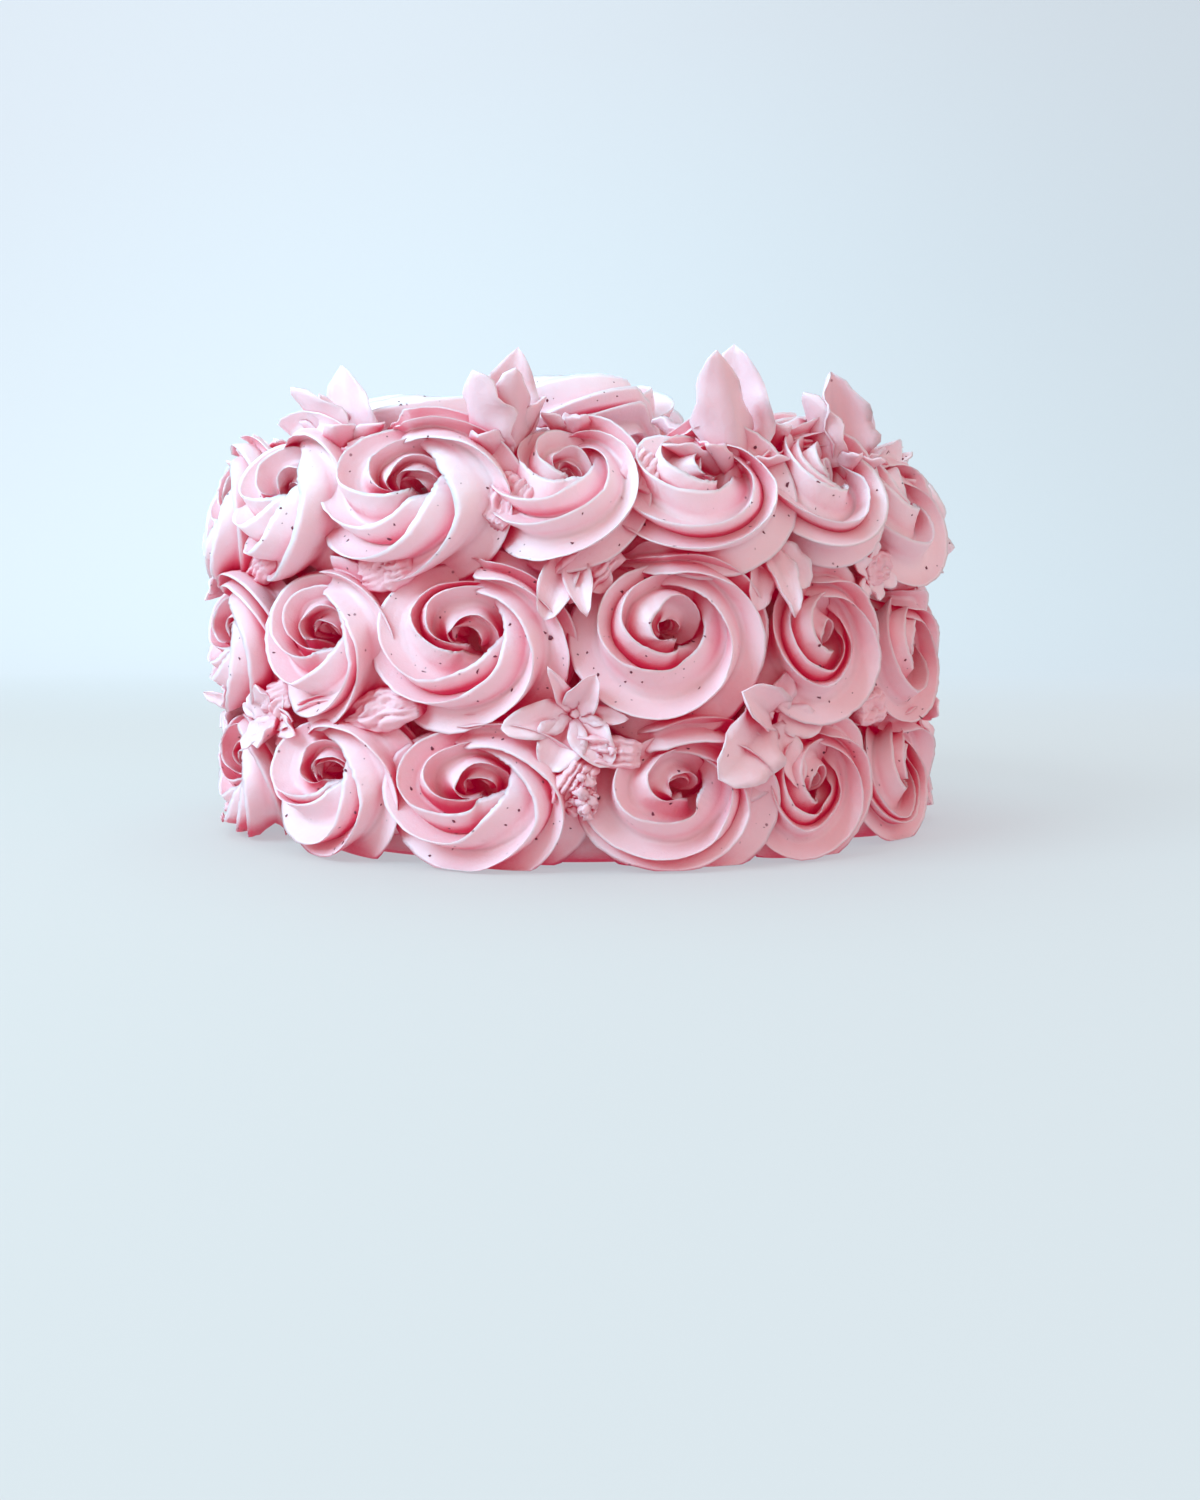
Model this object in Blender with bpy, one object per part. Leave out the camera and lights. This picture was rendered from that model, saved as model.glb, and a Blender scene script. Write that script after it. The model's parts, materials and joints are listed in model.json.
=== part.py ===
"""A round layer cake, iced and covered with piped rosettes, with drop flowers piped into the gaps.

Run with: blender --background --python part.py
Metres, +Z up. The origin is the middle of the flat underside, and the front looks along -Y.

The iced body is one solid. Three bands of rosettes climb its side, the highest on the rounded
shoulder, and a ring of seven round an eighth covers the top. Each rosette fills a cell of its band
and is a dome of curved blades that twist into an eye. A drop flower is six petals on a short stem.
"""

import math

import bmesh
import bpy
from mathutils import Vector

# The iced body.
BODY_RADIUS = 0.079
BODY_HEIGHT = 0.089
SHOULDER_RADIUS = 0.015
BODY_STEPS = 48
SHOULDER_STEPS = 4

# Piping in general. Its faceted back keeps clear of the body, and neighbours keep clear of each other.
BACK_CLEARANCE = 0.0010
CELL_CLEARANCE = 0.00025
TIP_POINTS = 6

# The bands of rosettes: how far up the body's skin each band starts and ends, and how proud it stands.
LOW_BAND = (0.0003, 0.0303)
MIDDLE_BAND = (0.0305, 0.0638)
HIGH_BAND = (0.0640, 0.0882)
LOW_PROUD = 0.0165
MIDDLE_PROUD = 0.0175
HIGH_PROUD = 0.0180

# Each band's facing rosettes are as uneven as a hand leaves them: degrees from the front where the
# first starts, then the degrees that each takes. The rest of the band shares what is left.
LOW_COUNT = 14
LOW_START = -73.0
LOW_WIDTHS = (22.0, 25.5, 26.5, 25.0, 20.5, 25.0)
MIDDLE_COUNT = 14
MIDDLE_START = -77.0
MIDDLE_WIDTHS = (29.0, 24.5, 23.5, 25.5, 22.0, 27.0)
HIGH_COUNT = 16
HIGH_START = -71.0
HIGH_WIDTHS = (16.0, 22.0, 24.0, 17.0, 21.0, 19.0, 22.0)

# The top's rosettes: how proud each of the ring stands, the front one first.
CROWN_RING = 0.0495
CROWN_RADIUS = 0.0213
CROWN_FIRST = 8.0
CROWN_PROUDS = (0.0208, 0.0148, 0.0166, 0.0176, 0.0172, 0.0164, 0.0164)
CROWN_MIDDLE_RADIUS = 0.0270
CROWN_MIDDLE_PROUD = 0.0188

# Drop flowers. On the side they fill the corners where bands meet, and on the rim they stand up.
# Each has a name, degrees from the front, how far up the skin its foot is, a radius and a height.
FOOT_SHARE = 0.38
SIDE_FLOWERS = (
    ("flower_side_01", 0.8, 0.0306, 0.0092, 0.0160),
    ("flower_side_02", 26.0, 0.0304, 0.0096, 0.0162),
    ("flower_side_03", 0.3, 0.0614, 0.0056, 0.0162),
    ("flower_side_04", 26.6, 0.0632, 0.0076, 0.0158),
)
RIM_FLOWERS = (
    ("flower_rim_01", -9.6, 0.0895, 0.0108, 0.0200),
    ("flower_rim_02", 28.6, 0.0895, 0.0108, 0.0215),
    ("flower_rim_03", 48.4, 0.0890, 0.0100, 0.0190),
)
SIDE_CUP = 0.30
RIM_CUP = 0.62

# A petal from its groove to its crest: part of the way to the next petal, then the shares of the
# flower's radius at the tip, of its height at the tip, and of its radius at the floor of its cup.
PETAL = (
    (0.00, 0.38, 0.62, 0.30),
    (0.34, 0.86, 0.93, 0.52),
    (0.66, 1.00, 1.00, 0.58),
)
WAIST = 0.62
WAIST_HEIGHT = 0.52
CUP_FLOOR = 0.62

# A rosette's rings from its back to its eye: share of the outline, share of the height, and how far
# the grooves between its blades cut into each of the two.
RINGS = (
    (0.86, 0.00, 0.04, 0.00),
    (1.00, 0.42, 0.09, 0.04),
    (0.74, 0.86, 0.12, 0.16),
    (0.36, 1.00, 0.10, 0.16),
)
SHOULDER_BACK_RING = (0.45, 0.00, 0.04, 0.00)
EYE_DEPTH = 0.34
EYE_SHIFT = 0.0030
BLADE_PHASES = ((0.0, 0.0), (0.45, 0.6), (0.82, 1.0))
BAND_POWER = 3.0
CROWN_POWER = 2.0

# How far each piece's tip is turned against the one before it, in degrees.
BAND_SPIN = 40.0
CROWN_SPIN = 50.0
FLOWER_SPIN = 25.0

# Edges sharper than these, in degrees, stay crisp.
BODY_CREASE = 50.0
ROSETTE_CREASE = 40.0
FLOWER_CREASE = 35.0

ICING = (0.80, 0.42, 0.47, 1.0)
ICING_ROUGHNESS = 0.42

FRONT = -math.pi / 2


def clear_scene():
    for old in list(bpy.data.objects):
        bpy.data.objects.remove(old)


def icing_material(name):
    """Pink buttercream: satin, and not metallic."""
    material = bpy.data.materials.new(name)
    material.use_nodes = True
    shader = material.node_tree.nodes["Principled BSDF"]
    shader.inputs["Base Color"].default_value = ICING
    shader.inputs["Roughness"].default_value = ICING_ROUGHNESS
    shader.inputs["Metallic"].default_value = 0.0
    return material


def add_object(name, mesh, crease, material):
    """Puts a mesh in the scene, smooth but for edges sharper than crease degrees."""
    mesh.shade_smooth()
    mesh.set_sharp_from_angle(angle=math.radians(crease))
    mesh.materials.append(material)
    made = bpy.data.objects.new(name, mesh)
    bpy.context.scene.collection.objects.link(made)
    return made


def loft(name, rings, first, last):
    """A closed solid through rings of equally many points, closed by a fan at each end."""
    made = bmesh.new()
    rows = [[made.verts.new(point) for point in ring] for ring in rings]
    count = len(rows[0])
    for below, above in zip(rows, rows[1:]):
        for i in range(count):
            j = (i + 1) % count
            made.faces.new((below[i], below[j], above[j]))
            made.faces.new((below[i], above[j], above[i]))
    for row, end in ((rows[0][::-1], first), (rows[-1], last)):
        tip = made.verts.new(end)
        for i in range(count):
            made.faces.new((row[i], row[(i + 1) % count], tip))
    bmesh.ops.recalc_face_normals(made, faces=made.faces)
    mesh = bpy.data.meshes.new(name)
    made.to_mesh(mesh)
    made.free()
    return mesh


def skin(climb):
    """The body's profile this far up its side: radius, height and how far its normal leans up."""
    straight = BODY_HEIGHT - SHOULDER_RADIUS
    lean = min(max((climb - straight) / SHOULDER_RADIUS, 0.0), math.pi / 2)
    radius = BODY_RADIUS - SHOULDER_RADIUS * (1 - math.cos(lean))
    height = min(climb, straight) + SHOULDER_RADIUS * math.sin(lean)
    return radius, height, lean


def on_side(angle, climb, lift):
    """The point at this angle from the front, this far up the skin and lifted this far off it."""
    radius, height, lean = skin(climb)
    turn = FRONT + angle
    reach = radius + lift * math.cos(lean)
    return Vector((reach * math.cos(turn), reach * math.sin(turn), height + lift * math.sin(lean)))


def make_body(material):
    """The iced cake: a turned solid with a rounded shoulder and a flat underside."""
    straight = BODY_HEIGHT - SHOULDER_RADIUS
    climbs = [0.0] + [
        straight + SHOULDER_RADIUS * math.pi / 2 * i / SHOULDER_STEPS for i in range(SHOULDER_STEPS + 1)
    ]
    angles = [2 * math.pi * i / BODY_STEPS for i in range(BODY_STEPS)]
    rings = [[on_side(angle, climb, 0.0) for angle in angles] for climb in climbs]
    mesh = loft("cake_body", rings, Vector((0, 0, 0)), Vector((0, 0, BODY_HEIGHT)))
    add_object("cake_body", mesh, BODY_CREASE, material)


def outline(direction, cell, power):
    """How far a rosette reaches from its middle: a circle at power 2, nearer a box above it."""
    left, right, down, up = cell
    across = right if math.cos(direction) > 0 else left
    along = up if math.sin(direction) > 0 else down
    share = abs(math.cos(direction) / across) ** power + abs(math.sin(direction) / along) ** power
    return share ** (-1 / power)


def rosette_mesh(name, cell, power, proud, spin, place, back_rings=()):
    """A piped rosette. place(across, along, lift) puts a point of it on the cake."""
    rings = []
    for share, rise, notch, groove in [*back_rings, *RINGS]:
        twist = math.asin(min(share, 1.0))
        ring = []
        for blade in range(TIP_POINTS):
            for phase, crest in BLADE_PHASES:
                direction = spin - twist + 2 * math.pi * (blade + phase) / TIP_POINTS
                far = share * outline(direction, cell, power) * (1 - notch * (1 - crest))
                lift = proud * max(rise - groove * (1 - crest), 0.0)
                shift = EYE_SHIFT * (1 - share) if rise else 0.0
                ring.append(place(far * math.cos(direction), far * math.sin(direction) + shift, lift))
        rings.append(ring)
    eye = place(0.0, EYE_SHIFT, proud * (1 - EYE_DEPTH))
    return loft(name, rings, place(0.0, 0.0, 0.0), eye)


def band_widths(count, facing):
    """Degrees that each rosette of a band takes: the facing ones' own, then what is left, shared."""
    rest = count - len(facing)
    return [*facing, *[(360.0 - sum(facing)) / rest] * rest]


def make_band(name, band, proud, start, widths, material, back_rings=()):
    """One band of rosettes, side by side round the body."""
    middle = (band[0] + band[1]) / 2
    half_height = (band[1] - band[0]) / 2 - CELL_CLEARANCE
    edge = start
    for i, width in enumerate(widths):
        half_width = math.radians(width) / 2 * BODY_RADIUS - CELL_CLEARANCE
        cell = (half_width, half_width, half_height, half_height)

        def place(across, along, lift, turn=math.radians(edge + width / 2)):
            return on_side(turn + across / BODY_RADIUS, middle + along, BACK_CLEARANCE + lift)

        node = f"{name}_{i + 1:02d}"
        mesh = rosette_mesh(node, cell, BAND_POWER, proud, math.radians(BAND_SPIN * i), place, back_rings)
        add_object(node, mesh, ROSETTE_CREASE, material)
        edge += width


def make_crown(material):
    """The top's rosettes: a ring, and one larger in the middle."""
    spots = [("rosette_crown_middle", 0.0, 0.0, CROWN_MIDDLE_RADIUS, CROWN_MIDDLE_PROUD)]
    for i, proud in enumerate(CROWN_PROUDS):
        turn = FRONT + math.radians(CROWN_FIRST + 360.0 * i / len(CROWN_PROUDS))
        x, y = CROWN_RING * math.cos(turn), CROWN_RING * math.sin(turn)
        spots.append((f"rosette_crown_{i + 1:02d}", x, y, CROWN_RADIUS, proud))
    for i, (node, x, y, radius, proud) in enumerate(spots):
        half = radius - CELL_CLEARANCE

        def place(across, along, lift, x=x, y=y):
            return Vector((x + across, y + along, BODY_HEIGHT + BACK_CLEARANCE + lift))

        spin = math.radians(CROWN_SPIN * i)
        mesh = rosette_mesh(node, (half,) * 4, CROWN_POWER, proud, spin, place)
        add_object(node, mesh, ROSETTE_CREASE, material)


def flower_mesh(name, radius, height, cup, spin, place):
    """Six petals on a short foot. cup is how deep the middle lies below the petals' tips."""
    rings = [[], [], [], []]
    for petal in range(TIP_POINTS):
        for phase, far, rise, floor in PETAL:
            direction = spin + 2 * math.pi * (petal + phase) / TIP_POINTS
            profile = (
                (FOOT_SHARE, 0.0),
                (max(FOOT_SHARE, far * WAIST), rise * WAIST_HEIGHT),
                (far, rise),
                (floor, 1 - cup * CUP_FLOOR),
            )
            for ring, (reach, lift) in zip(rings, profile):
                out = reach * radius
                ring.append(place(out * math.cos(direction), out * math.sin(direction), lift * height))
    return loft(name, rings, place(0, 0, 0), place(0, 0, height * (1 - cup)))


def make_flowers(material):
    """Side flowers follow the body's curve. Rim flowers stand rigid on the shoulder."""
    for i, (node, angle, climb, radius, height) in enumerate(SIDE_FLOWERS):

        def place(across, along, lift, turn=math.radians(angle), climb=climb):
            return on_side(turn + across / BODY_RADIUS, climb + along, BACK_CLEARANCE + lift)

        mesh = flower_mesh(node, radius, height, SIDE_CUP, math.radians(FLOWER_SPIN * i), place)
        add_object(node, mesh, FLOWER_CREASE, material)
    for i, (node, angle, climb, radius, height) in enumerate(RIM_FLOWERS):
        turn = math.radians(angle)
        foot = on_side(turn, climb, BACK_CLEARANCE)
        up = (on_side(turn, climb, 1.0) - foot).normalized()
        across_axis = Vector((-math.sin(FRONT + turn), math.cos(FRONT + turn), 0.0))
        along_axis = up.cross(across_axis)

        def place(across, along, lift, foot=foot, axes=(across_axis, along_axis, up)):
            return foot + axes[0] * across + axes[1] * along + axes[2] * lift

        mesh = flower_mesh(node, radius, height, RIM_CUP, math.radians(FLOWER_SPIN * i), place)
        add_object(node, mesh, FLOWER_CREASE, material)


def main():
    clear_scene()
    piping = icing_material("piped_icing")
    make_body(icing_material("body_icing"))
    low = band_widths(LOW_COUNT, LOW_WIDTHS)
    middle = band_widths(MIDDLE_COUNT, MIDDLE_WIDTHS)
    high = band_widths(HIGH_COUNT, HIGH_WIDTHS)
    make_band("rosette_low", LOW_BAND, LOW_PROUD, LOW_START, low, piping)
    make_band("rosette_middle", MIDDLE_BAND, MIDDLE_PROUD, MIDDLE_START, middle, piping)
    make_band("rosette_high", HIGH_BAND, HIGH_PROUD, HIGH_START, high, piping, (SHOULDER_BACK_RING,))
    make_crown(piping)
    make_flowers(piping)


main()
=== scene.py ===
"""Dresses a layer cake in piped buttercream: rosettes, drop flowers, the spread coat and berry specks.

Metres, +Z up, with the front towards -Y. Every rosette is one rope of icing, swept the way a piping
nozzle lays it: the star-shaped nozzle never turns while its path winds, so the fins of the rope
spiral from the eye to the rim.
"""

import json
import math
from collections import namedtuple

import bpy
import numpy as np
from mathutils import Matrix, Vector

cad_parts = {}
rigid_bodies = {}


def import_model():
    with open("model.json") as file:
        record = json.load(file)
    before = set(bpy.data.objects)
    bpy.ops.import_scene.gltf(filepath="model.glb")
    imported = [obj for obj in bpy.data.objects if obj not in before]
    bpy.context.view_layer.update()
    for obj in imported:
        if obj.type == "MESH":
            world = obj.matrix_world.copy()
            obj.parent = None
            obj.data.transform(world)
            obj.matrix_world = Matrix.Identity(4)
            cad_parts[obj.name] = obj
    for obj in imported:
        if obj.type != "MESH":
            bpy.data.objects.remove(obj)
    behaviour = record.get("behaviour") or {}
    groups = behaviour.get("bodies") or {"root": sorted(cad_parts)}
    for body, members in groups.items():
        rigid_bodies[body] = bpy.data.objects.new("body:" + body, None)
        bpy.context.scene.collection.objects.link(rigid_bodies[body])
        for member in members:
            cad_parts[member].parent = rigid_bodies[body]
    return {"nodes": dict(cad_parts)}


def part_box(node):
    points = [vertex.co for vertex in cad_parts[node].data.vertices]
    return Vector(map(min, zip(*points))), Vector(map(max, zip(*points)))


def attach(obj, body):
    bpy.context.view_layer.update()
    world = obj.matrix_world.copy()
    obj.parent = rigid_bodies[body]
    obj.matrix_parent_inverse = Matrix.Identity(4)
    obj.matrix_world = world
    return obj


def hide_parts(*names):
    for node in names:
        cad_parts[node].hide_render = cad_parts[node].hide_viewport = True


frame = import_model()

bl_info = {
    "name": "Piped layer cake",
    "version": (1, 0, 0),
    "blender": (4, 5, 0),
    "location": "View3D > Sidebar > Cake",
    "description": "Pipes buttercream rosettes and drop flowers over a layer cake, and sets its stage",
    "category": "Add Mesh",
}

FRONT = -math.pi / 2
BODY_LOW, BODY_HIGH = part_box("cake_body")
BODY_RADIUS = BODY_HIGH.x
BODY_HEIGHT = BODY_HIGH.z
SHOULDER = 0.015
NODES = sorted(frame["nodes"])
FLOOR = 0.0006


# ---------------------------------------------------------------- settings


class CakePipingSettings(bpy.types.PropertyGroup):
    """The nozzle and the hand that holds it."""

    fins: bpy.props.IntProperty(
        name="Fins", description="Points of the star nozzle", default=8, min=4, max=12
    )
    valley: bpy.props.FloatProperty(
        name="Valley", description="Reach of the grooves between fins, as a share of the rope", default=0.44,
        min=0.2, max=0.9, subtype="FACTOR",
    )
    spread: bpy.props.FloatProperty(
        name="Spread", description="Size of a rosette against the cell that it fills", default=1.16,
        min=0.8, max=1.3, subtype="FACTOR",
    )
    stations: bpy.props.IntProperty(
        name="Stations", description="Steps along the rope of one rosette", default=98, min=24, max=400
    )
    unevenness: bpy.props.FloatProperty(
        name="Unevenness", description="How far the hand strays", default=1.0, min=0.0, max=2.0, subtype="FACTOR"
    )


class CakeIcingSettings(bpy.types.PropertyGroup):
    """Buttercream, tinted with berries."""

    # Pale is painted highlight: the icing takes it on lit crests and rims and towards the top of the cake.
    pale: bpy.props.FloatVectorProperty(
        name="Pale", description="Colour of crests and petal edges", default=(0.94, 0.68, 0.73),
        size=3, min=0.0, max=1.0, subtype="COLOR",
    )
    mid: bpy.props.FloatVectorProperty(
        name="Mid", description="Colour of open surfaces", default=(0.93, 0.56, 0.62),
        size=3, min=0.0, max=1.0, subtype="COLOR",
    )
    # Deep is painted shade: the icing takes it where the surface is most sheltered, at the foot of the grooves.
    deep: bpy.props.FloatVectorProperty(
        name="Deep", description="Colour at the foot of the grooves", default=(0.62, 0.02, 0.07),
        size=3, min=0.0, max=1.0, subtype="COLOR",
    )
    # Blush is painted shade: surfaces that face up, towards the overhead lamp, take this deeper colour so that they
    # don't glare.
    blush: bpy.props.FloatVectorProperty(
        name="Blush", description="Colour of surfaces that face the sky", default=(0.80, 0.42, 0.48),
        size=3, min=0.0, max=1.0, subtype="COLOR",
    )
    # Warm is painted shade too, for points that are less sheltered than those that take the deep colour.
    warm: bpy.props.FloatVectorProperty(
        name="Warm", description="Colour part of the way down the grooves", default=(0.86, 0.26, 0.33),
        size=3, min=0.0, max=1.0, subtype="COLOR",
    )
    # Painted glow: a red emission put into the grooves. It stands in for light that passes through the icing.
    painted_groove_glow: bpy.props.FloatVectorProperty(
        name="Painted groove glow", description="Light that reaches the grooves through the icing", default=(0.10, 0.0, 0.012),
        size=3, min=0.0, max=1.0, subtype="COLOR",
    )
    reach: bpy.props.FloatProperty(
        name="Reach", description="How far round it a surface looks for cover", default=0.007, unit="LENGTH"
    )
    speck: bpy.props.FloatVectorProperty(
        name="Speck", description="Colour of the ground berry specks", default=(0.22, 0.03, 0.06),
        size=3, min=0.0, max=1.0, subtype="COLOR",
    )
    specks: bpy.props.IntProperty(
        name="Specks", description="How many berry specks show on the icing", default=3800, min=0, max=6000
    )
    roughness: bpy.props.FloatProperty(
        name="Roughness", description="Mean roughness of the icing", default=0.46, min=0.0, max=1.0,
        subtype="FACTOR",
    )
    glow: bpy.props.FloatProperty(
        name="Glow", description="Weight of the light that passes through the icing", default=0.25,
        min=0.0, max=1.0, subtype="FACTOR",
    )


class CakeStageSettings(bpy.types.PropertyGroup):
    """Camera, lights and the pale sweep behind the cake."""

    distance: bpy.props.FloatProperty(
        name="Distance", description="From the cake's axis to the camera", default=0.367, unit="LENGTH"
    )
    camera_height: bpy.props.FloatProperty(
        name="Camera height", description="Above the cake's underside", default=0.054, unit="LENGTH"
    )
    camera_aside: bpy.props.FloatProperty(
        name="Camera aside", description="To the right of the cake's axis", default=0.006, unit="LENGTH"
    )
    pitch: bpy.props.FloatProperty(
        name="Pitch", description="How far the camera looks down", default=math.radians(5.75), subtype="ANGLE"
    )
    lens: bpy.props.FloatProperty(name="Lens", description="Focal length in millimetres", default=31.9)
    key: bpy.props.FloatProperty(
        name="Key", description="Power of the large light at the upper left", default=13.5, unit="POWER"
    )
    top: bpy.props.FloatProperty(
        name="Top", description="Power of the large light overhead", default=7.0, unit="POWER"
    )
    fill: bpy.props.FloatProperty(
        name="Fill", description="Power of the weak light at the right", default=0.5, unit="POWER"
    )
    sky: bpy.props.FloatProperty(name="Sky", description="Strength of the light from all round", default=0.88)
    floor: bpy.props.FloatVectorProperty(
        name="Floor", description="Light from the lit paper under the cake", default=(0.385, 0.455, 0.50),
        size=3, min=0.0, max=1.0, subtype="COLOR",
    )
    backdrop: bpy.props.FloatVectorProperty(
        name="Backdrop", description="Light from the lit paper behind the cake", default=(0.42, 0.48, 0.55),
        size=3, min=0.0, max=1.0, subtype="COLOR",
    )
    paper: bpy.props.FloatVectorProperty(
        name="Paper", description="Colour of the paper", default=(0.27, 0.18, 0.17),
        size=3, min=0.0, max=1.0, subtype="COLOR",
    )


# ---------------------------------------------------------------- shaders


class Socket:
    """A shader socket as a number. An expression on sockets adds its Math nodes to the tree."""

    def __init__(self, shader, link):
        self.shader = shader
        self.link = link

    def maths(self, operation, *values):
        return self.shader.node("ShaderNodeMath", {"operation": operation}, dict(enumerate(values)))

    def __add__(self, other):
        return self.maths("ADD", self, other)

    def __radd__(self, other):
        return self.maths("ADD", other, self)

    def __sub__(self, other):
        return self.maths("SUBTRACT", self, other)

    def __rsub__(self, other):
        return self.maths("SUBTRACT", other, self)

    def __mul__(self, other):
        return self.maths("MULTIPLY", self, other)

    def __rmul__(self, other):
        return self.maths("MULTIPLY", other, self)

    def __pow__(self, other):
        return self.maths("POWER", self, other)

    def clamped(self):
        return self.shader.node(
            "ShaderNodeClamp", {"clamp_type": "MINMAX"}, {"Value": self, "Min": 0.0, "Max": 1.0}
        )

    def step(self, low, high):
        """0 below low, 1 above high, and smooth between them."""
        return self.shader.node(
            "ShaderNodeMapRange",
            {"interpolation_type": "SMOOTHSTEP"},
            {"Value": self, "From Min": low, "From Max": high, "To Min": 0.0, "To Max": 1.0},
        )


class Shader:
    """One material's node tree."""

    def __init__(self, name):
        self.material = bpy.data.materials.new(name)
        self.material.use_nodes = True
        self.tree = self.material.node_tree
        self.surface = self.tree.nodes["Principled BSDF"]

    def node(self, kind, settings=None, values=None, output=0):
        """Adds a node: its settings first, then its sockets' values or links. Returns one output."""
        made = self.tree.nodes.new(kind)
        for key, value in (settings or {}).items():
            if key == "stops":
                for spare in list(made.color_ramp.elements)[1:]:
                    made.color_ramp.elements.remove(spare)
                made.color_ramp.elements[0].position, made.color_ramp.elements[0].color = value[0]
                for place, colour in value[1:]:
                    made.color_ramp.elements.new(place).color = colour
            else:
                setattr(made, key, value)
        for key, value in (values or {}).items():
            self.feed(made.inputs[key], value)
        return Socket(self, made.outputs[output])

    def feed(self, target, value):
        if isinstance(value, Socket):
            self.tree.links.new(value.link, target)
        else:
            target.default_value = value

    def mix(self, factor, first, second):
        """Blends two colours."""
        mixed = self.tree.nodes.new("ShaderNodeMix")
        mixed.data_type = "RGBA"
        colours = [s for s in mixed.inputs if s.type == "RGBA"]
        self.feed(mixed.inputs[0], factor)
        for target, value in zip(colours, (first, second)):
            self.feed(target, value if isinstance(value, Socket) else (*value, 1.0))
        return Socket(self, next(s for s in mixed.outputs if s.type == "RGBA"))

    def spot(self):
        """The shaded point in the object's own metres."""
        return self.node("ShaderNodeTexCoord", output=3)

    def noise(self, scale, detail=2.0, roughness=0.5, distortion=0.0):
        return self.node(
            "ShaderNodeTexNoise",
            {"noise_dimensions": "3D"},
            {"Vector": self.spot(), "Scale": scale, "Detail": detail, "Roughness": roughness, "Distortion": distortion},
        )

    def bump(self, height, distance, strength=1.0):
        """A Bump node into the surface's Normal. distance is in metres."""
        normal = self.node(
            "ShaderNodeBump", None, {"Height": height, "Distance": distance, "Strength": strength}
        )
        self.feed(self.surface.inputs["Normal"], normal)


def buttercream(name, pale, mid, deep, icing):
    """Whipped butter icing, faintly pitted. Light and shade are painted into its colour: pale painted highlights at
    thin crests and high up, painted crimson shade where little light gets in, a deeper painted colour on faces turned
    up, and a painted red glow in the grooves.
    """
    shader = Shader(name)
    crest = shader.node("ShaderNodeAttribute", {"attribute_name": "crest"}, output=2)
    shelter = shader.node(
        "ShaderNodeAmbientOcclusion", {"samples": 4}, {"Distance": icing.reach}, output=1
    )
    drift = shader.noise(38.0, 3.0)
    grain = shader.noise(900.0, 3.0, 0.6)
    height = shader.node("ShaderNodeSeparateXYZ", None, {"Vector": shader.spot()}, output=2)
    upward = shader.node(
        "ShaderNodeSeparateXYZ", None, {"Vector": shader.node("ShaderNodeNewGeometry", output=1)}, output=2
    )
    # Painted light and shade: how open a point is, from ambient occlusion and noise, counted as more open high up on
    # the cake and on faces turned up.
    high_painted_light = height.step(0.45 * BODY_HEIGHT, 1.05 * BODY_HEIGHT)
    open_air = (shelter + (drift - 0.5) * 0.22 + high_painted_light * 0.14 + upward * 0.10 - 0.04).clamped()
    # Painted shade: sheltered points take the deep colour, then the warm, then the mid.
    colour = shader.mix(open_air.step(0.04, 0.42), deep, tuple(icing.warm))
    colour = shader.mix(open_air.step(0.24, 0.62), colour, mid)
    # Painted highlight: the pale colour on lit crests and rims and towards the top of the cake.
    lit = crest.step(0.86, 1.0) * (drift * 1.3).clamped() * 0.55
    colour = shader.mix((lit + high_painted_light * 0.66).clamped() * open_air.step(0.3, 0.8), colour, pale)
    # Painted shade: faces turned up take the deeper blush colour, so that the overhead lamp doesn't blow them out.
    colour = shader.mix(upward.step(0.30, 1.0) * open_air * 0.85, colour, tuple(icing.blush))
    speck = shader.node(
        "ShaderNodeTexVoronoi", {"feature": "F1"}, {"Vector": shader.spot(), "Scale": 330.0, "Randomness": 1.0}
    )
    rare = shader.noise(420.0, 1.0).step(0.62, 0.66)
    dust = (1.0 - speck.step(0.06, 0.16)) * rare
    colour = shader.mix(dust * 0.75, colour, tuple(icing.speck))
    shader.feed(shader.surface.inputs["Base Color"], colour)
    # Painted glow: a red emission in the sheltered grooves.
    painted_groove_glow = shader.mix(open_air.step(0.0, 0.42), tuple(icing.painted_groove_glow), (0.0, 0.0, 0.0))
    shader.feed(shader.surface.inputs["Emission Color"], painted_groove_glow)
    shader.surface.inputs["Emission Strength"].default_value = 1.0
    shader.feed(shader.surface.inputs["Roughness"], (grain * 0.16 + (icing.roughness - 0.08)) - crest * 0.05)
    shader.bump(grain * 0.6 + shader.noise(260.0, 4.0, 0.65) * 1.0, 0.00014)
    shader.surface.inputs["Subsurface Weight"].default_value = icing.glow
    shader.surface.inputs["Subsurface Radius"].default_value = (1.0, 0.38, 0.36)
    shader.surface.inputs["Subsurface Scale"].default_value = 0.0025
    shader.surface.inputs["Specular IOR Level"].default_value = 0.25
    return shader.material


def piped_icing(icing):
    known = bpy.data.materials.get("buttercream_piped")
    return known or buttercream(
        "buttercream_piped", tuple(icing.pale), tuple(icing.mid), tuple(icing.deep), icing
    )


def rim_petal_icing(icing):
    """The rim's standing petals catch the most light, so their copy of the icing is painted a little deeper, as painted
    shade that holds their light down.
    """
    known = bpy.data.materials.get("buttercream_petals")
    pale = tuple(0.45 * a + 0.55 * b for a, b in zip(icing.pale, icing.blush))
    return known or buttercream("buttercream_petals", pale, tuple(icing.blush), tuple(icing.deep), icing)


def coat_icing(icing):
    known = bpy.data.materials.get("buttercream_coat")
    return known or buttercream(
        "buttercream_coat", tuple(icing.mid), tuple(icing.mid), tuple(icing.deep), icing
    )


def torn_icing(icing):
    known = bpy.data.materials.get("buttercream_torn")
    blush = tuple(0.75 * a + 0.25 * b for a, b in zip(icing.mid, icing.warm))
    return known or buttercream("buttercream_torn", blush, blush, tuple(icing.deep), icing)


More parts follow.
